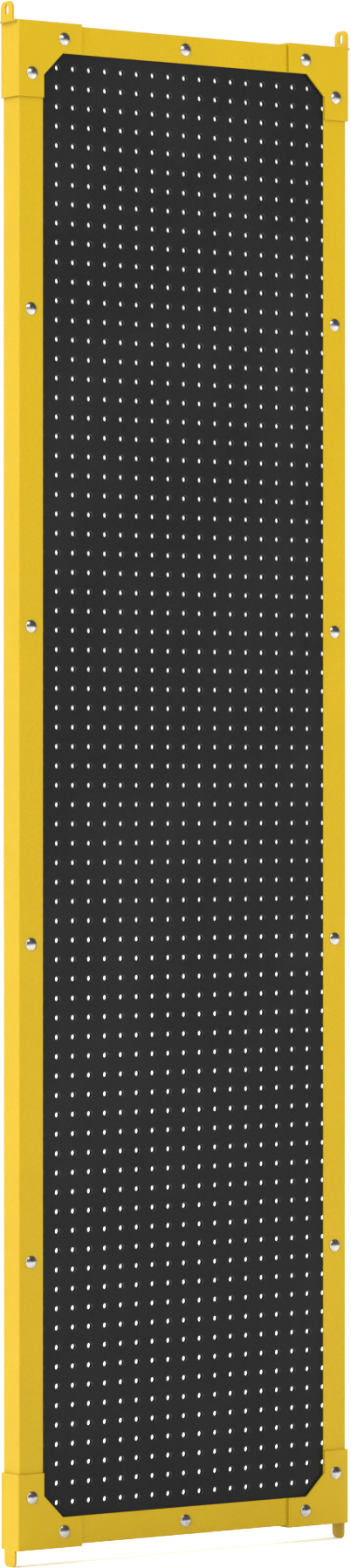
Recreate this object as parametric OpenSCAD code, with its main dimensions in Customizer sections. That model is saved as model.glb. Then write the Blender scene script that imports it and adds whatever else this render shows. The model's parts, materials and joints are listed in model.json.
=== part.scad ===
// Tall framed pegboard panel.
// A perforated board is bolted behind the front lips of a sheet-metal frame, and four
// corner brackets tie the frame together. The top brackets carry slotted lugs, and the
// bottom ones carry tongues. Millimetres, +Z up, the front faces -Y.

/* [Frame] */
// Width of the frame across both posts
frame_w = 529; // [420:1:700]
// Height of the posts
frame_h = 1992; // [1500:1:2400]
// Depth of the posts and rails
frame_d = 38.5; // [34:0.5:60]
// Width of the front lip on each post and rail
lip_w = 37; // [34:0.5:48]
// Sheet thickness of the posts and rails
sheet_t = 2; // [1.5:0.1:2.5]
// Width of the return flange at the back
return_w = 10; // [6:0.5:12]
// Outside bend radius of the posts and rails
bend_r = 2; // [1:0.25:3]
// Gap between the end of a rail and the lip of a post
rail_gap = 0.4; // [0.2:0.1:1]

/* [Corner brackets] */
// Plate thickness of the brackets
plate_t = 3; // [2:0.25:4]
// Length of each bracket leg, from its outer corner
bracket_leg = 100; // [90:1:140]
// Size of the 45 degree gusset at the inner corner
gusset = 30; // [10:1:36]
// Outside bend radius of the brackets
bracket_bend_r = 2.5; // [1:0.25:3.5]
// Distance of the rail bolt from the side of the bracket
bolt_from_side = 72; // [64:0.5:85]
// Distance of the post bolt from the end of the bracket
bolt_from_end = 69; // [62:0.5:85]

/* [Lugs and tongues] */
// Centre of the lugs and tongues, behind the front of the frame
tab_y = 18.5; // [17:0.5:22]
// Width of a lug
lug_w = 27; // [22:0.5:30]
// Height of a lug above its bracket
lug_rise = 24.5; // [20:0.5:40]
// How far the outer face of a lug stands outside its bracket
lug_out = 4.9; // [4:0.1:8]
// Radius of the top corners of a lug
lug_corner_r = 9; // [4:0.5:10]
// Width of the flange that a lug is bent from
lug_root_w = 35; // [30:0.5:36]
// Outside bend radius under a lug
lug_bend_r = 2.5; // [1:0.25:3]
// Width of the slot in a lug
slot_w = 8; // [5:0.5:10]
// Height of the slot in a lug
slot_h = 13; // [11:0.5:16]
// Height of the centre of the slot above its bracket
slot_rise = 13.5; // [11:0.5:16]
// Width of a tongue
tongue_w = 25; // [18:0.5:30]
// Length of a tongue below its bracket
tongue_l = 22; // [15:0.5:40]
// Radius of the corners of a tongue
tongue_r = 8; // [3:0.5:9]

/* [Peg panel] */
// Thickness of the board
panel_t = 6; // [4:0.5:8]
// Distance between hole centres, both ways
hole_pitch = 25.4; // [25:0.1:38.1]
// Diameter of a peg hole
hole_d = 7.1; // [5:0.1:8]
// Gap between the edge of the board and the frame around it
panel_gap = 1.5; // [1:0.25:3]
// Least width of board between a peg hole and a bolt hole
peg_web = 6; // [4.5:0.5:9]

/* [Fasteners] */
// Diameter of the bolts
shank_d = 6; // [5:0.5:6]
// Diameter of the domed heads
head_d = 17; // [14:0.5:20]
// Height of the domed heads
head_h = 4; // [3:0.25:5]
// Height of the straight rim under a dome
head_rim = 0.6; // [0.3:0.1:1]
// Width of the square neck under a head
neck_w = 6.3; // [6:0.1:7]
// Length of the square neck
neck_l = 4.6; // [3:0.1:5.5]
// Clearance around the neck, on each side
neck_gap = 0.35; // [0.2:0.05:0.5]
// Radial clearance between a bolt and its nut
thread_gap = 0.1; // [0.05:0.05:0.2]
// Length of bolt beyond its nut
bolt_tail = 5; // [2:0.5:10]
// Width of the hexagon nuts across their flats
nut_af = 10; // [9:0.5:11]
// Height of the nuts
nut_h = 5; // [4:0.25:6]
// Outside diameter of the washers
washer_d = 18; // [14:0.5:20]
// Thickness of the washers
washer_t = 1.6; // [1:0.1:2]
// Distance between the bolts along a post
post_bolt_pitch = 415; // [300:1:500]

/* [Hidden] */
$fn = 48;

LEFT = -1;
RIGHT = 1;
BOTTOM = -1;
TOP = 1;

half_w = frame_w / 2;
half_h = frame_h / 2;
open_x = half_w - lip_w;
open_z = half_h - lip_w;
bracket_x = half_w + plate_t;
bracket_z = half_h + plate_t;

// The board fills the frame behind the lips, less a gap all round.
board_x = half_w - sheet_t - panel_gap;
board_z = half_h - sheet_t - panel_gap;
board_back = sheet_t + panel_t;

// Bolts run along the middle of the lips.
post_bolt_x = half_w - lip_w / 2;
rail_bolt_z = half_h - lip_w / 2;
bracket_bolt_x = bracket_x - bolt_from_side;
bracket_bolt_z = bracket_z - bolt_from_end;
post_bolt_space = half_h - bracket_leg - head_d;
post_bolts_each_way = floor(post_bolt_space / post_bolt_pitch + 0.5);
post_bolt_heights = [
    for (i = [1:post_bolts_each_way], way = [BOTTOM, TOP]) way * (i - 0.5) * post_bolt_pitch
];

// The peg holes are one square grid about the middle, clear of every bolt hole.
board_bolt_d = neck_w * sqrt(2) + 2 * neck_gap;
grid_x = post_bolt_x - board_bolt_d / 2 - peg_web - hole_d / 2;
grid_z = rail_bolt_z - board_bolt_d / 2 - peg_web - hole_d / 2;
columns_each_way = floor(grid_x / hole_pitch);
rows_each_way = floor(grid_z / hole_pitch);

// The board is one sheet. It is held as two halves, which meet midway between two rows of
// holes, just above the middle row.
halves_meet_z = hole_pitch / 2;

// Total thickness under each kind of bolt head, as far as its nut.
post_grip = board_back + washer_t;
bracket_grip = plate_t + post_grip;

// The origin is the middle of the whole part.
middle_y = (frame_d - plate_t - head_h) / 2;
middle_z = (lug_rise - tongue_l) / 2;

cut = 1;
yellow = [0.86, 0.70, 0.12];
black = [0.12, 0.12, 0.12];
steel = [0.75, 0.75, 0.73];

function post_places(side) = [for (z = post_bolt_heights) [side * post_bolt_x, z]];
function rail_places() = [for (end = [BOTTOM, TOP]) [0, end * rail_bolt_z]];
function bracket_places(side, end) = [
    [side * post_bolt_x, end * bracket_bolt_z],
    [side * bracket_bolt_x, end * rail_bolt_z]
];
function all_bracket_places() = [
    for (side = [LEFT, RIGHT], end = [BOTTOM, TOP]) each bracket_places(side, end)
];
function post_bracket_place(side, end) = bracket_places(side, end)[0];
function rail_bracket_place(side, end) = bracket_places(side, end)[1];

// Moves a piece from the frame's own origin to the middle of the part.
module placed() translate([0, -middle_y, -middle_z]) children();

module to_side(side) mirror([side == LEFT ? 1 : 0, 0, 0]) children();
module to_end(end) mirror([0, 0, end == BOTTOM ? 1 : 0]) children();

// Extrudes an outline drawn in X and Z towards the front, from Y = 0.
module forwards(depth) rotate([90, 0, 0]) linear_extrude(depth) children();

// Extrudes an outline drawn in Y and Z along +X.
module sideways(depth) rotate([90, 0, 90]) linear_extrude(depth) children();

// Takes the sharp corner at the origin off an outline in the first quadrant.
module round_corner(r) difference() {
    translate([-cut, -cut]) square(r + cut);
    translate([r, r]) circle(r);
}

// Section of a post or rail: the front lip on X, the web on Y, and the return at the back.
module channel_profile() difference() {
    union() {
        square([lip_w, sheet_t]);
        square([sheet_t, frame_d]);
        translate([0, frame_d - sheet_t]) square([return_w, sheet_t]);
    }
    round_corner(bend_r);
    translate([0, frame_d]) mirror([0, 1]) round_corner(bend_r);
}

// Square holes for bolt necks, right through the sheet between Y = -front and Y = back.
module neck_holes(places, front, back) {
    w = neck_w + 2 * neck_gap;
    for (p = places) translate([p[0] - w / 2, -front - cut, p[1] - w / 2])
        cube([w, front + back + 2 * cut, w]);
}

module post(side) placed() difference() {
    to_side(side) translate([half_w, 0, -half_h]) linear_extrude(frame_h)
        mirror([1, 0]) channel_profile();
    neck_holes(post_places(side), 0, sheet_t);
    neck_holes([for (end = [BOTTOM, TOP]) post_bracket_place(side, end)], 0, sheet_t);
}

module rail(end) placed() difference() {
    length = 2 * (open_x - rail_gap);
    to_end(end) translate([-length / 2, 0, half_h]) rotate([0, 90, 0]) linear_extrude(length)
        channel_profile();
    neck_holes([[0, end * rail_bolt_z]], 0, sheet_t);
    neck_holes([for (side = [LEFT, RIGHT]) rail_bracket_place(side, end)], 0, sheet_t);
}

// A plate on the X axis that rises to a given height, with its two top corners rounded.
module tab_outline(w, h, r) {
    translate([-w / 2, 0]) square([w, h - r]);
    translate([r - w / 2, 0]) square([w - 2 * r, h]);
    for (x = [r - w / 2, w / 2 - r]) translate([x, h - r]) circle(r);
}

module slot_outline(w, h) {
    square([w, h - w], center=true);
    for (z = [(w - h) / 2, (h - w) / 2]) translate([0, z]) circle(d=w);
}

// The front plate of a bracket, with a gusset across its inner corner.
module bracket_front() forwards(plate_t) polygon([
    [bracket_x - bracket_leg, bracket_z],
    [bracket_x, bracket_z],
    [bracket_x, bracket_z - bracket_leg],
    [open_x, bracket_z - bracket_leg],
    [open_x, open_z - gusset],
    [open_x - gusset, open_z],
    [bracket_x - bracket_leg, open_z]
]);

// Front plate, side flange and end flange, rounded along the two front bends.
module bracket_shell() difference() {
    union() {
        bracket_front();
        translate([half_w, -plate_t, bracket_z - bracket_leg])
            cube([plate_t, plate_t + frame_d, bracket_leg]);
        translate([bracket_x - bracket_leg, -plate_t, half_h])
            cube([bracket_leg, plate_t + frame_d, plate_t]);
    }
    translate([bracket_x, -plate_t, 0]) linear_extrude(bracket_z + cut)
        mirror([1, 0]) round_corner(bracket_bend_r);
    translate([0, -plate_t, bracket_z]) rotate([0, 90, 0]) linear_extrude(bracket_x + cut)
        round_corner(bracket_bend_r);
}

// The end flange runs out past the side and turns up into a slotted lug.
module lug() {
    outside = bracket_x + lug_out;
    difference() {
        translate([half_w, tab_y - lug_root_w / 2, half_h])
            cube([plate_t + lug_out, lug_root_w, plate_t]);
        translate([outside, tab_y + lug_root_w, half_h]) forwards(2 * lug_root_w)
            mirror([1, 0]) round_corner(lug_bend_r);
    }
    translate([outside - plate_t, tab_y, bracket_z]) difference() {
        sideways(plate_t) tab_outline(lug_w, lug_rise, lug_corner_r);
        translate([-cut, 0, slot_rise]) sideways(plate_t + 2 * cut) slot_outline(slot_w, slot_h);
    }
}

// The side flange runs on past its end as a plain tongue.
module tongue() translate([half_w, tab_y, half_h]) sideways(plate_t)
    tab_outline(tongue_w, plate_t + tongue_l, tongue_r);

module bracket(side, end) color(yellow) placed() difference() {
    to_side(side) to_end(end) {
        bracket_shell();
        if (end == TOP) lug();
        else tongue();
    }
    neck_holes(bracket_places(side, end), plate_t, 0);
}

// Every bolt hole whose height lies between two heights.
function bolt_places_between(low, high) = [
    for (p = concat(post_places(LEFT), post_places(RIGHT), rail_places(), all_bracket_places()))
        if (p[1] > low && p[1] < high) p
];

// The board between two heights, with the peg holes of a range of rows.
module board(low, high, first_row, last_row) color(black) placed()
    translate([0, board_back, 0]) forwards(panel_t) difference() {
        translate([-board_x, low]) square([2 * board_x, high - low]);
        for (column = [-columns_each_way:columns_each_way], row = [first_row:last_row])
            translate(hole_pitch * [column, row]) circle(d=hole_d);
        for (p = bolt_places_between(low, high)) translate(p) circle(d=board_bolt_d);
    }

// Low dome on a short straight rim, standing on Z = 0.
module dome_head() {
    rise = head_h - head_rim;
    r = (pow(head_d / 2, 2) + pow(rise, 2)) / (2 * rise);
    rotate_extrude() intersection() {
        square([head_d / 2, head_h]);
        translate([0, head_h - r]) circle(r);
    }
}

// A dome-headed, square-necked bolt, with its head on Z = 0 and its shank down -Z.
module carriage_bolt(grip) {
    length = grip + nut_h + bolt_tail;
    dome_head();
    translate([-neck_w / 2, -neck_w / 2, -neck_l]) cube([neck_w, neck_w, neck_l]);
    translate([0, 0, -length]) cylinder(h=length, d=shank_d);
}

module washer() difference() {
    cylinder(h=washer_t, d=washer_d);
    translate([0, 0, -cut]) cylinder(h=washer_t + 2 * cut, d=shank_d + 2 * thread_gap);
}

module hex_nut() difference() {
    cylinder(h=nut_h, d=nut_af / cos(30), $fn=6);
    translate([0, 0, -cut]) cylinder(h=nut_h + 2 * cut, d=shank_d + 2 * thread_gap);
}

// Stands copies of a piece on the plane Y = y, pointing forwards, at each place.
module at_places(places, y) placed()
    for (p = places) translate([p[0], y, p[1]]) rotate([90, 0, 0]) children();

module bolts(places, thickness, grip) color(steel) at_places(places, -thickness)
    carriage_bolt(grip);
module washers(places) color(steel) at_places(places, post_grip) washer();
module nuts(places) color(steel) at_places(places, post_grip + nut_h) hex_nut();

module left_post() color(yellow) post(LEFT);
module right_post() color(yellow) post(RIGHT);
module top_rail() color(yellow) rail(TOP);
module bottom_rail() color(yellow) rail(BOTTOM);
module top_left_bracket() bracket(LEFT, TOP);
module top_right_bracket() bracket(RIGHT, TOP);
module bottom_left_bracket() bracket(LEFT, BOTTOM);
module bottom_right_bracket() bracket(RIGHT, BOTTOM);
module lower_peg_panel() board(-board_z, halves_meet_z, -rows_each_way, 0);
module upper_peg_panel() board(halves_meet_z, board_z, 1, rows_each_way);
module left_post_bolts() bolts(post_places(LEFT), 0, post_grip);
module right_post_bolts() bolts(post_places(RIGHT), 0, post_grip);
module rail_bolts() bolts(rail_places(), 0, post_grip);
module bracket_bolts() bolts(all_bracket_places(), plate_t, bracket_grip);
module left_post_washers() washers(post_places(LEFT));
module right_post_washers() washers(post_places(RIGHT));
module rail_washers() washers(rail_places());
module bracket_washers() washers(all_bracket_places());
module left_post_nuts() nuts(post_places(LEFT));
module right_post_nuts() nuts(post_places(RIGHT));
module rail_nuts() nuts(rail_places());
module bracket_nuts() nuts(all_bracket_places());

left_post();
right_post();
top_rail();
bottom_rail();
top_left_bracket();
top_right_bracket();
bottom_left_bracket();
bottom_right_bracket();
lower_peg_panel();
upper_peg_panel();
left_post_bolts();
right_post_bolts();
rail_bolts();
bracket_bolts();
left_post_washers();
right_post_washers();
rail_washers();
bracket_washers();
left_post_nuts();
right_post_nuts();
rail_nuts();
bracket_nuts();
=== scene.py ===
"""A tall framed pegboard panel: materials, fine meshes, light and camera around the CAD frame."""
import json
import math

import bmesh
import bpy
from mathutils import Matrix, Vector


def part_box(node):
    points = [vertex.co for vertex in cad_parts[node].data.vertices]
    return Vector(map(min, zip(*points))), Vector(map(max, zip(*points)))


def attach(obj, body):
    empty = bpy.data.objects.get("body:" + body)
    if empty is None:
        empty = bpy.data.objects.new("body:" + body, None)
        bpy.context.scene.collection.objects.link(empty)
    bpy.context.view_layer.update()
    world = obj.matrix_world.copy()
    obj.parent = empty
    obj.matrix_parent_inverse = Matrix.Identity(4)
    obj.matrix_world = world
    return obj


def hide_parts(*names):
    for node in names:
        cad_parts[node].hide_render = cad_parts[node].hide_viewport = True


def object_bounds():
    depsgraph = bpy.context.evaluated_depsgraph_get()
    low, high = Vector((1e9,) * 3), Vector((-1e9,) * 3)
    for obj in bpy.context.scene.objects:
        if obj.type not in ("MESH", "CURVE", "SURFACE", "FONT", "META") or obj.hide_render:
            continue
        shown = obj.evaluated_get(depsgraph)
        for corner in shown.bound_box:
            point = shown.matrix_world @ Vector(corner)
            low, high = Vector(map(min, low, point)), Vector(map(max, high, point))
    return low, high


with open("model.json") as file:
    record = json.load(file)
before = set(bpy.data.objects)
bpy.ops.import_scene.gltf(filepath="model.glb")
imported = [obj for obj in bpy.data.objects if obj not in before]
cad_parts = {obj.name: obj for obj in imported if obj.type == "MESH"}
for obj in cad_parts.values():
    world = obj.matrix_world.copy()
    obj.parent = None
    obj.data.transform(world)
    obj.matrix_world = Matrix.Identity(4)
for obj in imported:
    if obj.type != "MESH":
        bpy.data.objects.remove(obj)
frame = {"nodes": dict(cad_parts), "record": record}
cad_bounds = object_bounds()
NODES = frame["nodes"]
RECORD = frame["record"]
MM = 0.001

# ---------------------------------------------------------------- sizes from the frame

board_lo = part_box("lower_peg_panel")[0]
board_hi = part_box("upper_peg_panel")[1]
post_lo, post_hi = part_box("right_post")
rail_lo, rail_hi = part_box("top_rail")
SHEET_T = board_lo.y - post_lo.y
LIP_W = post_hi.x - post_lo.x
FRAME_D = post_hi.y - post_lo.y
RETURN_W = 10 * MM
BEND_R = 2 * MM
BEND_INNER_R = 0.4 * MM
EDGE_R = 0.35 * MM

mounts = {m["name"]: m for m in RECORD["mounts"]}
PITCH = mounts["peg_pair"]["dims"]["spacing_y_mm"] * MM
HOLE_R = mounts["peg_pair"]["dims"]["hole_r_mm"] * MM
# The lips half cover one more column on each side of the open grid.
COLUMNS = round(mounts["peg_grid"]["dims"]["spacing_x_mm"] * MM / PITCH) + 3
ROWS = round(mounts["peg_grid"]["dims"]["spacing_y_mm"] * MM / PITCH) + 1
GRID_Z = mounts["peg_grid"]["pos_m"][2]

SHANK_R = 3 * MM
THREAD_PITCH = 1 * MM
THREAD_DEPTH = 0.5 * MM
THREAD_SHOWN = 7 * MM
NECK_W = 6.3 * MM
NECK_L = 4.6 * MM
NECK_GAP = 0.35 * MM
HEAD_RIM = 0.6 * MM
NUT_AF = 10 * MM
NUT_BORE_R = 2.75 * MM
WASHER_GAP = 0.1 * MM
# The heads of the bracket bolts stand in front of the brackets' plates.
HEAD_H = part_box("top_right_bracket")[0].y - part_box("bracket_bolts")[0].y


# ---------------------------------------------------------------- materials

# Sockets of a colour Mix node, whose names repeat for each data type.
MIX_FIRST, MIX_SECOND, MIX_RESULT = 6, 7, 2


class Shader:
    """A new node material, with short ways to add and join its nodes."""

    def __init__(self, name):
        self.material = bpy.data.materials.new(name)
        self.material.use_nodes = True
        self.nodes = self.material.node_tree.nodes
        self.links = self.material.node_tree.links
        self.bsdf = self.nodes["Principled BSDF"]
        self.place = self.nodes.new("ShaderNodeTexCoord").outputs["Object"]

    def set(self, **values):
        for key, value in values.items():
            self.bsdf.inputs[key.replace("_", " ")].default_value = value

    def join(self, source, target):
        self.links.new(source, target)

    def noise(self, scale, detail=2.0, roughness=0.5, stretch=None):
        """Noise of that many cells a metre. stretch makes it finer or coarser along each axis."""
        node = self.nodes.new("ShaderNodeTexNoise")
        node.inputs["Scale"].default_value = scale
        node.inputs["Detail"].default_value = detail
        node.inputs["Roughness"].default_value = roughness
        place = self.place
        if stretch:
            mapping = self.nodes.new("ShaderNodeMapping")
            mapping.inputs["Scale"].default_value = stretch
            self.join(place, mapping.inputs["Vector"])
            place = mapping.outputs["Vector"]
        self.join(place, node.inputs["Vector"])
        return node.outputs["Fac"]

    def spread(self, value, low, high, to_low, to_high):
        """Maps value from low..high to to_low..to_high, clamped."""
        node = self.nodes.new("ShaderNodeMapRange")
        for key, number in (
            ("From Min", low), ("From Max", high), ("To Min", to_low), ("To Max", to_high),
        ):
            node.inputs[key].default_value = number
        self.join(value, node.inputs["Value"])
        return node.outputs["Result"]

    def math(self, operation, a, b):
        node = self.nodes.new("ShaderNodeMath")
        node.operation = operation
        self.join(a, node.inputs[0])
        if isinstance(b, (int, float)):
            node.inputs[1].default_value = b
        else:
            self.join(b, node.inputs[1])
        return node.outputs["Value"]

    def mix(self, factor, first, second):
        """A colour between two, each an RGB tuple or another node's output."""
        node = self.nodes.new("ShaderNodeMix")
        node.data_type = "RGBA"
        self.join(factor, node.inputs["Factor"])
        for colour, key in ((first, MIX_FIRST), (second, MIX_SECOND)):
            if isinstance(colour, tuple):
                node.inputs[key].default_value = (*colour, 1)
            else:
                self.join(colour, node.inputs[key])
        return node.outputs[MIX_RESULT]

    def bump(self, height, distance, strength=1.0, under=None):
        node = self.nodes.new("ShaderNodeBump")
        node.inputs["Distance"].default_value = distance
        node.inputs["Strength"].default_value = strength
        self.join(height, node.inputs["Height"])
        if under is not None:
            self.join(under, node.inputs["Normal"])
        return node.outputs["Normal"]

    def finish(self, colour=None, roughness=None, normal=None):
        for source, key in ((colour, "Base Color"), (roughness, "Roughness"), (normal, "Normal")):
            if source is not None:
                self.join(source, self.bsdf.inputs[key])
        return self.material


def powder_coat(name, colour):
    """Satin yellow powder coat: orange peel, a fine speckle of two shades, and a little grime."""
    s = Shader(name)
    s.set(IOR=1.5, Specular_IOR_Level=0.16)
    peel = s.noise(330, 3, 0.6)
    grain = s.noise(800, 2, 0.7)
    cloud = s.noise(5, 4, 0.6)
    dark = tuple(c * f for c, f in zip(colour, (0.95, 0.94, 0.90)))
    tint = s.mix(s.spread(cloud, 0.35, 0.65, 0, 1), colour, dark)
    light_speck = tuple(c * 1.06 for c in colour)
    dark_speck = tuple(c * 0.89 for c in colour)
    tint = s.mix(s.spread(grain, 0.52, 0.66, 0, 1), tint, light_speck)
    tint = s.mix(s.spread(grain, 0.48, 0.34, 0, 1), tint, dark_speck)
    rough = s.math("ADD", s.spread(cloud, 0.3, 0.7, 0.40, 0.50),
                   s.spread(grain, 0.3, 0.7, -0.04, 0.06))
    normal = s.bump(peel, 0.00014)
    normal = s.bump(grain, 0.00006, 1.0, normal)
    return s.finish(tint, rough, normal)


def board_black(name):
    """Satin black board with a fine leathery grain and faint dust."""
    s = Shader(name)
    s.set(IOR=1.5, Specular_IOR_Level=0.07)
    grain = s.noise(850, 3, 0.65)
    pebble = s.noise(420, 2, 0.5)
    cloud = s.noise(4, 4, 0.6)
    tint = s.mix(s.spread(grain, 0.38, 0.66, 0, 1),
                 (0.0068, 0.0068, 0.0068), (0.0152, 0.0148, 0.0148))
    tint = s.mix(s.spread(cloud, 0.45, 0.75, 0, 0.25), tint, (0.026, 0.0255, 0.025))
    rough = s.math("ADD", s.spread(grain, 0.3, 0.7, 0.40, 0.54),
                   s.spread(cloud, 0.3, 0.7, -0.04, 0.05))
    normal = s.bump(pebble, 0.00012)
    normal = s.bump(grain, 0.00012, 1.0, normal)
    return s.finish(tint, rough, normal)


def board_rim(name):
    """The eased rim of a peg hole, burnished by hooks until it shines a little."""
    s = Shader(name)
    s.set(IOR=1.5, Specular_IOR_Level=0.6)
    rub = s.noise(600, 2, 0.6)
    tint = s.mix(s.spread(rub, 0.35, 0.65, 0, 1), (0.006, 0.006, 0.006), (0.018, 0.0175, 0.017))
    return s.finish(tint, s.spread(rub, 0.3, 0.7, 0.26, 0.38), s.bump(rub, 0.00002))


def hole_wall_painted_shade(name):
    """The cut wall of a peg hole: matt, with the rings that a drill leaves, and coloured darker than
    the board's face as painted shade inside the hole.
    """
    s = Shader(name)
    s.set(IOR=1.5, Specular_IOR_Level=0.05)
    rings = s.noise(40, 3, 0.6, stretch=(1, 40, 1))
    fibre = s.noise(1500, 3, 0.6)
    # Painted shade: the wall's colour is darker than the board's face, standing in for the shade
    # inside the hole.
    tint = s.mix(s.spread(fibre, 0.35, 0.65, 0, 1), (0.002, 0.002, 0.002), (0.006, 0.0055, 0.005))
    normal = s.bump(rings, 0.0001)
    return s.finish(tint, s.spread(fibre, 0.3, 0.7, 0.70, 0.85), s.bump(fibre, 0.00004, 1.0, normal))


def bright_steel(name):
    """Satin steel: an uneven polish with small dark marks and fine turned rings."""
    s = Shader(name)
    s.set(Metallic=1.0)
    cloud = s.noise(300, 3, 0.6)
    mark = s.noise(900, 3, 0.6)
    tint = s.mix(s.spread(cloud, 0.35, 0.65, 0, 1), (0.37, 0.361, 0.339), (0.458, 0.449, 0.427))
    tint = s.mix(s.spread(mark, 0.58, 0.72, 0, 0.6), tint, (0.20, 0.195, 0.18))
    rough = s.spread(cloud, 0.3, 0.7, 0.22, 0.33)
    return s.finish(tint, rough, s.bump(mark, 0.000004))


def zinc_plate(name):
    """Zinc plate: a cool grey with a faint warm bloom and a fine crystal grain."""
    s = Shader(name)
    s.set(Metallic=1.0)
    bloom = s.noise(120, 4, 0.6)
    grain = s.noise(1400, 2, 0.6)
    tint = s.mix(s.spread(bloom, 0.35, 0.65, 0, 1), (0.58, 0.60, 0.63), (0.66, 0.63, 0.56))
    rough = s.math("ADD", s.spread(bloom, 0.3, 0.7, 0.30, 0.42),
                   s.spread(grain, 0.3, 0.7, -0.03, 0.05))
    return s.finish(tint, rough, s.bump(grain, 0.00002))


YELLOW = (0.367, 0.242, 0.0054)
MATERIALS = {
    "frame_paint": powder_coat("frame_paint", YELLOW),
    "bracket_paint": powder_coat("bracket_paint", YELLOW),
    "board": board_black("board"),
    "board_rim": board_rim("board_rim"),
    "hole_wall_painted_shade": hole_wall_painted_shade("hole_wall_painted_shade"),
    "bolt_steel": bright_steel("bolt_steel"),
    "zinc_steel": zinc_plate("zinc_steel"),
}


# ---------------------------------------------------------------- mesh tools

def new_object(name, bm):
    bmesh.ops.recalc_face_normals(bm, faces=bm.faces)
    mesh = bpy.data.meshes.new(name)
    bm.to_mesh(mesh)
    bm.free()
    thing = bpy.data.objects.new(name, mesh)
    bpy.context.scene.collection.objects.link(thing)
    return thing


def add_piece(name, bm, slot, *nodes, cutter=None):
    """Turns a bmesh into a finished piece that rides on the one body and replaces CAD nodes."""
    piece = new_object(name, bm)
    if cutter:
        cut_out(piece, cutter)
    piece.data.materials.append(MATERIALS[slot])
    smooth(piece)
    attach(piece, "root")
    if nodes:
        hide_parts(*nodes)
    return piece


def cut_out(piece, bm):
    """Cuts a closed shape out of a piece's mesh for good."""
    cutter = new_object("cutter", bm)
    cut = piece.modifiers.new("cut", "BOOLEAN")
    cut.operation = "DIFFERENCE"
    cut.solver = "EXACT"
    cut.object = cutter
    depsgraph = bpy.context.evaluated_depsgraph_get()
    piece.data = bpy.data.meshes.new_from_object(piece.evaluated_get(depsgraph))
    piece.modifiers.clear()
    bpy.data.objects.remove(cutter)


def smooth(piece, angle=math.radians(32)):
    """Smooth shading, except across edges sharper than the angle, with flat faces kept flat."""
    piece.data.shade_smooth()
    piece.data.set_sharp_from_angle(angle=angle)
    flatten_flats(piece)


def flatten_flats(piece):
    weighted = piece.modifiers.new("flats", "WEIGHTED_NORMAL")
    weighted.keep_sharp = True
    weighted.weight = 80


def rounded_outline(corners, steps=5):
    """A closed outline from (x, y, radius) corners, each rounded with an arc."""
    points = []
    count = len(corners)
    for i, (x, y, radius) in enumerate(corners):
        here = Vector((x, y))
        before = (Vector(corners[i - 1][:2]) - here).normalized()
        after = (Vector(corners[(i + 1) % count][:2]) - here).normalized()
        half = before.angle(after) / 2
        centre = here + (before + after).normalized() * radius / math.sin(half)
        start = here + before * radius / math.tan(half) - centre
        end = here + after * radius / math.tan(half) - centre
        turn = start.angle_signed(end)
        for k in range(steps + 1):
            points.append(centre + Matrix.Rotation(-turn * k / steps, 2) @ start)
    return points


def bridge(bm, first, second, closed=True, material=0):
    """Quads between two rows of vertices of the same length."""
    count = len(first)
    for i in range(count if closed else count - 1):
        j = (i + 1) % count
        bm.faces.new((first[i], first[j], second[j], second[i])).material_index = material


def extrude_outline(bm, outline, place, length):
    """A closed prism. place(u, v, s) gives the position of outline point (u, v) at length s."""
    ends = [[bm.verts.new(place(p.x, p.y, s)) for p in outline] for s in (0, length)]
    bridge(bm, *ends)
    for end in ends:
        bm.faces.new(end)


def lathe(bm, profile, centre, segments, capped=True):
    """Turns (radius, forward) points about the -Y axis through centre. A zero radius is a pole."""
    rings = []
    for radius, forward in profile:
        if radius == 0:
            rings.append([bm.verts.new(centre + Vector((0, -forward, 0)))])
            continue
        rings.append([
            bm.verts.new(centre + Vector((
                radius * math.cos(2 * math.pi * k / segments),
                -forward,
                radius * math.sin(2 * math.pi * k / segments),
            ))) for k in range(segments)
        ])
    join_rings(bm, rings, capped)
    return rings


def join_rings(bm, rings, capped):
    for first, second in zip(rings, rings[1:]):
        if len(first) == 1 or len(second) == 1:
            pole, ring = (first[0], second) if len(first) == 1 else (second[0], first)
            for i, vertex in enumerate(ring):
                bm.faces.new((pole, vertex, ring[(i + 1) % len(ring)]))
        else:
            bridge(bm, first, second)
    if capped:
        for ring in (rings[0], rings[-1]):
            if len(ring) > 1:
                bm.faces.new(ring)


def solids(node, reach=0.03):
    """The (lowest, highest) corners of each separate solid in a node of small pieces."""
    groups = []
    for vertex in NODES[node].data.vertices:
        for group in groups:
            if (vertex.co - group[0]).length < reach:
                group.append(vertex.co)
                break
        else:
            groups.append([vertex.co])
    return [
        (Vector(min(c[i] for c in group) for i in range(3)),
         Vector(max(c[i] for c in group) for i in range(3))) for group in groups
    ]


# ---------------------------------------------------------------- board

HOLE_SEGMENTS = 20
RIM_R = 0.7 * MM


def hole_rings():
    """(extra radius, depth share) of each ring down one hole, from the front rim to the back rim."""
    depth = board_hi.y - board_lo.y
    arc = [math.radians(a) for a in (90, 60, 30, 0)]
    front = [(RIM_R * (1 - math.cos(a)), RIM_R * (1 - math.sin(a))) for a in arc]
    back = [(r, depth - d) for r, d in reversed(front)]
    return front + back


def square_point(angle, half):
    """The point on a square's edge in that direction from its middle."""
    c, s = math.cos(angle), math.sin(angle)
    scale = half / max(abs(c), abs(s))
    return c * scale, s * scale


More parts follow.
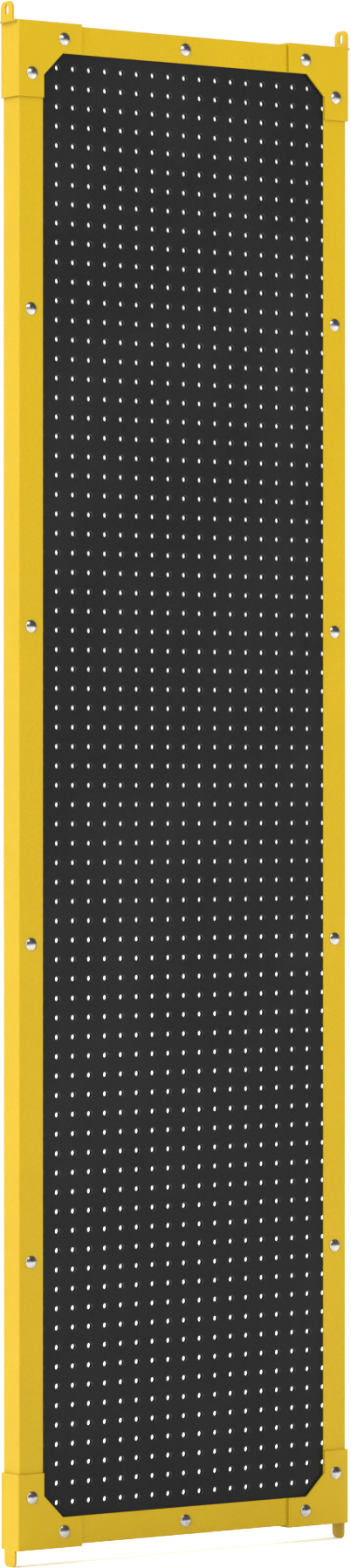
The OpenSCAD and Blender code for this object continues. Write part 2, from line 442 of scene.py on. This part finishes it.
def build_board():
    """A drilled board: a square cell around every hole, and a plain border outside the grid."""
    bm = bmesh.new()
    angles = [math.radians(45) + 2 * math.pi * k / HOLE_SEGMENTS for k in range(HOLE_SEGMENTS)]
    front, back = board_lo.y, board_hi.y
    for column in range(COLUMNS):
        x = (column - (COLUMNS - 1) / 2) * PITCH
        for row in range(ROWS):
            z = (row - (ROWS - 1) / 2) * PITCH + GRID_Z
            rings = []
            for y in (front, back):
                rings.append([
                    bm.verts.new((x + dx, y, z + dz))
                    for dx, dz in (square_point(a, PITCH / 2) for a in angles)
                ])
            wall = [
                [bm.verts.new((x + (HOLE_R + extra) * math.cos(a), front + depth,
                               z + (HOLE_R + extra) * math.sin(a))) for a in angles]
                for extra, depth in hole_rings()
            ]
            chain = [rings[0], *wall, rings[1]]
            # The board's face, the rounded rim, the drilled wall with its painted shade, and the
            # same again at the back.
            face, rim, core = 0, 1, 2
            arc = len(wall) // 2 - 1
            kinds = [face, *[rim] * arc, core, *[rim] * arc, face]
            for first, second, kind in zip(chain, chain[1:], kinds):
                bridge(bm, first, second, material=kind)
    bmesh.ops.remove_doubles(bm, verts=bm.verts, dist=PITCH / 1000)
    add_border(bm, front, back)
    board = add_piece("drilled_board", bm, "board", "lower_peg_panel", "upper_peg_panel")
    for slot in ("board_rim", "hole_wall_painted_shade"):
        board.data.materials.append(MATERIALS[slot])


def add_border(bm, front, back):
    """Joins the edge of the grid to the edge of the board, and closes the board's sides."""
    half_x, half_z = COLUMNS * PITCH / 2, ROWS * PITCH / 2
    edge = 0.4 * MM
    bm.edges.ensure_lookup_table()
    open_edges = [e for e in bm.edges if len(e.link_faces) == 1]
    loops = {}
    for y in (front, back):
        loops[y] = {v for e in open_edges for v in e.verts if abs(v.co.y - y) < 1e-6}

    def outer(v, grow, y):
        x, z = v.co.x, v.co.z - GRID_Z
        at_x = math.copysign(board_hi.x - grow, x) if abs(abs(x) - half_x) < 1e-5 else x
        top = board_hi.z if z > 0 else board_lo.z
        at_z = top - math.copysign(grow, z) if abs(abs(z) - half_z) < 1e-5 else v.co.z
        return (at_x, y, at_z)

    chains = {}
    for y, step in ((front, 1), (back, -1)):
        for v in loops[y]:
            chains[v] = [
                v,
                bm.verts.new(outer(v, edge, y)),
                bm.verts.new(outer(v, 0, y + step * edge)),
            ]
    for e in open_edges:
        a, b = e.verts
        if a in chains and b in chains:
            bridge(bm, chains[a], chains[b], closed=False)
    close_sides(bm, chains, loops, front, back)


def close_sides(bm, chains, loops, front, back):
    """Faces between the outermost front and back vertices, which stand opposite each other."""
    def spot(v):
        return round(v.co.x, 5), round(v.co.z, 5)

    behind = {spot(chains[v][2]): chains[v][2] for v in loops[back]}
    outermost = {chains[v][2] for v in loops[front]}
    for e in [e for e in bm.edges if len(e.link_faces) == 1 and set(e.verts) <= outermost]:
        a, b = e.verts
        bm.faces.new((a, b, behind[spot(b)], behind[spot(a)]))


# ---------------------------------------------------------------- posts and rails

def channel_outline():
    """Section of a post or rail: u from its outer side inwards, v from the front backwards."""
    t, d = SHEET_T, FRAME_D
    return rounded_outline([
        (0, 0, BEND_R), (LIP_W, 0, EDGE_R), (LIP_W, t, EDGE_R), (t, t, BEND_INNER_R),
        (t, d - t, BEND_INNER_R), (RETURN_W, d - t, EDGE_R), (RETURN_W, d, EDGE_R), (0, d, BEND_R),
    ])


def square_punches(bolt_nodes, low_end, high_end):
    """Square bars through the front sheet, one for each bolt between two corners."""
    side = NECK_W + 2 * NECK_GAP
    bm = bmesh.new()
    for low, high in (ends for node in bolt_nodes for ends in solids(node)):
        x, z = (low.x + high.x) / 2, (low.z + high.z) / 2
        if low_end.x < x < high_end.x and low_end.z < z < high_end.z:
            bar = Matrix.Diagonal((side, 2 * SHEET_T, side, 1))
            at = Matrix.Translation((x, post_lo.y + SHEET_T / 2, z))
            bmesh.ops.create_cube(bm, size=1, matrix=at @ bar)
    return bm


def build_channel(name, node, place, length, bolt_nodes):
    bm = bmesh.new()
    extrude_outline(bm, channel_outline(), place, length)
    add_piece(name, bm, "frame_paint", node, cutter=square_punches(bolt_nodes, *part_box(node)))


def build_frame():
    front = post_lo.y
    post_h = post_hi.z - post_lo.z
    rail_len = rail_hi.x - rail_lo.x
    bottom_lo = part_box("bottom_rail")[0]
    build_channel("left_post_channel", "left_post",
                  lambda u, v, s: (-post_hi.x + u, front + v, post_lo.z + s), post_h,
                  ("left_post_bolts", "bracket_bolts"))
    build_channel("right_post_channel", "right_post",
                  lambda u, v, s: (post_hi.x - u, front + v, post_lo.z + s), post_h,
                  ("right_post_bolts", "bracket_bolts"))
    build_channel("top_rail_channel", "top_rail",
                  lambda u, v, s: (rail_lo.x + s, front + v, rail_hi.z - u), rail_len,
                  ("rail_bolts", "bracket_bolts"))
    build_channel("bottom_rail_channel", "bottom_rail",
                  lambda u, v, s: (rail_lo.x + s, front + v, bottom_lo.z + u), rail_len,
                  ("rail_bolts", "bracket_bolts"))


# ---------------------------------------------------------------- brackets

def dress_brackets():
    """The CAD brackets keep their shape, and get softened sheet edges and their paint."""
    for node in ("top_left_bracket", "top_right_bracket",
                 "bottom_left_bracket", "bottom_right_bracket"):
        piece = NODES[node]
        piece.data.materials.clear()
        piece.data.materials.append(MATERIALS["bracket_paint"])
        weld = piece.modifiers.new("weld", "WELD")
        weld.merge_threshold = 0.01 * MM
        bevel = piece.modifiers.new("soft_edges", "BEVEL")
        bevel.width = 0.6 * MM
        bevel.segments = 3
        bevel.limit_method = "ANGLE"
        bevel.angle_limit = math.radians(50)
        bevel.harden_normals = False
        flatten_flats(piece)


# ---------------------------------------------------------------- fasteners

HEAD_SEGMENTS = 40


def dome_profile(radius, height):
    """Spherical cap on a rounded rim, from its top to the bearing face."""
    rise = height - HEAD_RIM
    sphere = (radius ** 2 + rise ** 2) / (2 * rise)
    end = math.asin(radius / sphere)
    steps = 9
    cap = [(sphere * math.sin(end * k / steps), height - sphere * (1 - math.cos(end * k / steps)))
           for k in range(steps)]
    rim = [(radius - 0.12 * MM, HEAD_RIM + 0.08 * MM), (radius, HEAD_RIM * 0.7),
           (radius, 0.15 * MM), (radius - 0.15 * MM, 0)]
    return cap + rim


def add_neck(bm, seat):
    """Square neck with bevelled sides, from the bearing face back."""
    half = NECK_W / 2
    outline = rounded_outline([(-half, -half, EDGE_R), (half, -half, EDGE_R),
                               (half, half, EDGE_R), (-half, half, EDGE_R)], 2)
    extrude_outline(bm, outline, lambda u, v, s: seat + Vector((u, s, v)), NECK_L)


def add_shank(bm, seat, length):
    """Plain shank that ends in a real helical thread and a chamfered tip."""
    steps_a_turn, around = 6, 24
    plain_r = SHANK_R - THREAD_DEPTH / 2
    lathe(bm, [(plain_r, 0), (plain_r, -(length - THREAD_SHOWN))], seat, around)
    count = round(THREAD_SHOWN / THREAD_PITCH * steps_a_turn)
    rings = []
    for k in range(count + 1):
        along = k * THREAD_PITCH / steps_a_turn
        left = THREAD_SHOWN - along
        ring = []
        for j in range(around):
            phase = (along / THREAD_PITCH - j / around) % 1
            radius = SHANK_R - THREAD_DEPTH * abs(2 * phase - 1)
            radius = min(radius, SHANK_R - THREAD_DEPTH + left)
            angle = 2 * math.pi * j / around
            back = length - THREAD_SHOWN + along
            spot = Vector((radius * math.cos(angle), back, radius * math.sin(angle)))
            ring.append(bm.verts.new(seat + spot))
        rings.append(ring)
    join_rings(bm, rings, True)


def build_bolts(name, node):
    bm = bmesh.new()
    for low, high in solids(node):
        radius = (high.x - low.x) / 2
        seat = Vector(((low.x + high.x) / 2, low.y + HEAD_H, (low.z + high.z) / 2))
        lathe(bm, dome_profile(radius, HEAD_H), seat, HEAD_SEGMENTS)
        add_neck(bm, seat)
        add_shank(bm, seat, high.y - seat.y)
    add_piece(name, bm, "bolt_steel", node)


def build_washers(name, node):
    """Flat washers with rolled edges."""
    bm = bmesh.new()
    for low, high in solids(node):
        t = high.y - low.y
        outer, inner, e = (high.x - low.x) / 2, SHANK_R + WASHER_GAP, 0.25 * MM
        section = [(inner + e, t), (outer - e, t), (outer, t - e), (outer, e), (outer - e, 0),
                   (inner + e, 0), (inner, e), (inner, t - e)]
        centre = Vector(((low.x + high.x) / 2, high.y, (low.z + high.z) / 2))
        rings = lathe(bm, section, centre, 36, capped=False)
        bridge(bm, rings[-1], rings[0])
    add_piece(name, bm, "zinc_steel", node)


def build_nuts(name, node):
    """Hexagon nuts with the curved chamfer of a turned face, and a countersunk bore."""
    bm = bmesh.new()
    around = 48
    flat = NUT_AF / 2
    for low, high in solids(node):
        t = high.y - low.y
        centre = Vector(((low.x + high.x) / 2, high.y, (low.z + high.z) / 2))
        face_r = flat * 0.96

        def ring(radius_at, forward_at):
            made = []
            for k in range(around):
                a = 2 * math.pi * k / around
                off = (a + math.pi / 6) % (math.pi / 3) - math.pi / 6
                corner = flat / math.cos(off)
                r, f = radius_at(corner), forward_at(corner)
                made.append(bm.verts.new(centre + Vector((r * math.sin(a), -f, r * math.cos(a)))))
            return made

        def drop(corner):
            return (corner - face_r) * math.tan(math.radians(30))

        sink = 0.45 * MM
        rings = [
            ring(lambda c: NUT_BORE_R, lambda c: sink),
            ring(lambda c: NUT_BORE_R + sink, lambda c: 0),
            ring(lambda c: face_r, lambda c: 0),
            ring(lambda c: c, drop),
            ring(lambda c: c, lambda c: t - drop(c)),
            ring(lambda c: face_r, lambda c: t),
            ring(lambda c: NUT_BORE_R + sink, lambda c: t),
            ring(lambda c: NUT_BORE_R, lambda c: t - sink),
        ]
        join_rings(bm, rings, False)
        bridge(bm, rings[-1], rings[0])
    add_piece(name, bm, "zinc_steel", node)


def build_fasteners():
    for group in ("left_post", "right_post", "rail", "bracket"):
        build_bolts(f"{group}_dome_bolts", f"{group}_bolts")
        build_washers(f"{group}_flat_washers", f"{group}_washers")
        build_nuts(f"{group}_hex_nuts", f"{group}_nuts")


# ---------------------------------------------------------------- stage, light and camera

AIM = (cad_bounds[0] + cad_bounds[1]) / 2
CAMERA_TURN = math.radians(34.956)
CAMERA_DISTANCE = 7.9206
CAMERA_RISE = 0.0005
CAMERA_LEFT = 0.0044
LENS = 136.6
SENSOR = 36

KEY_POWER = 240
SIDE_POWER = 4.2
HIGH_LEFT_POWER = 25
OVERHEAD_POWER = 2.3
BACKDROP_POWER = 70
FRONT_WALL = 0.12
BACK_WALL = 1.02

FLOOR_REACH = 30


def add_camera():
    data = bpy.data.cameras.new("camera")
    data.lens = LENS
    data.sensor_fit = "AUTO"
    data.sensor_width = SENSOR
    camera = bpy.data.objects.new("camera", data)
    bpy.context.scene.collection.objects.link(camera)
    back = Vector((-math.sin(CAMERA_TURN), -math.cos(CAMERA_TURN), 0))
    left = Vector((-math.cos(CAMERA_TURN), math.sin(CAMERA_TURN), 0))
    camera.location = AIM + back * CAMERA_DISTANCE + left * CAMERA_LEFT + Vector((0, 0, CAMERA_RISE))
    camera.rotation_euler = (math.radians(90), 0, -CAMERA_TURN)
    bpy.context.scene.camera = camera


def add_floor():
    """A pale floor that the tongues just touch."""
    bm = bmesh.new()
    bmesh.ops.create_grid(bm, x_segments=1, y_segments=1, size=FLOOR_REACH)
    mesh = bpy.data.meshes.new("floor")
    bm.to_mesh(mesh)
    bm.free()
    floor = bpy.data.objects.new("floor", mesh)
    floor.location = (0, 0, cad_bounds[0].z)
    bpy.context.scene.collection.objects.link(floor)
    s = Shader("floor_white")
    s.set(Roughness=0.9)
    mesh.materials.append(s.finish(s.mix(s.noise(3), (0.90, 0.90, 0.90), (0.93, 0.93, 0.93))))


def towards(azimuth, elevation):
    """The direction at that azimuth, turned from the front (-Y) towards +X."""
    a, e = math.radians(azimuth), math.radians(elevation)
    return Vector((math.sin(a) * math.cos(e), -math.cos(a) * math.cos(e), math.sin(e)))


def add_light(name, kind, power, azimuth, elevation, distance=0.0, glossy=True):
    data = bpy.data.lights.new(name, kind)
    data.energy = power
    light = bpy.data.objects.new(name, data)
    bpy.context.scene.collection.objects.link(light)
    source = towards(azimuth, elevation)
    light.location = AIM + source * distance
    light.rotation_euler = source.to_track_quat("Z", "Y").to_euler()
    light.visible_camera = False
    light.visible_glossy = glossy
    return data


def add_lights():
    """Softboxes at the right and high left, a broad side light, and two that whiten the floor."""
    add_light("key", "AREA", KEY_POWER, 43.5, 12, 6.0, glossy=False).size = 0.5
    add_light("side", "SUN", SIDE_POWER, -90, 25).angle = math.radians(70)
    add_light("high_left", "AREA", HIGH_LEFT_POWER, -30, 45, 3.0).size = 1.2
    add_light("backdrop", "AREA", BACKDROP_POWER, 180, 50, 3.5, glossy=False).size = 2
    add_light("overhead", "SUN", OVERHEAD_POWER, 0, 90, glossy=False).angle = math.radians(120)


def add_world():
    """A studio with a bright white backdrop behind the panel and dimmer walls in front."""
    world = bpy.data.worlds.new("studio")
    world.use_nodes = True
    nodes, links = world.node_tree.nodes, world.node_tree.links
    split = nodes.new("ShaderNodeSeparateXYZ")
    links.new(nodes.new("ShaderNodeTexCoord").outputs["Generated"], split.inputs[0])
    wall = nodes.new("ShaderNodeMapRange")
    wall.interpolation_type = "SMOOTHSTEP"
    for key, number in (
        ("From Min", -0.3), ("From Max", 0.7), ("To Min", FRONT_WALL), ("To Max", BACK_WALL),
    ):
        wall.inputs[key].default_value = number
    links.new(split.outputs["Y"], wall.inputs["Value"])
    background = nodes["Background"]
    background.inputs["Color"].default_value = (1, 1, 1, 1)
    links.new(wall.outputs["Result"], background.inputs["Strength"])
    bpy.context.scene.world = world


add_camera()
build_board()
build_frame()
dress_brackets()
build_fasteners()
add_floor()
add_lights()
add_world()
bpy.context.scene.view_settings.view_transform = "Standard"
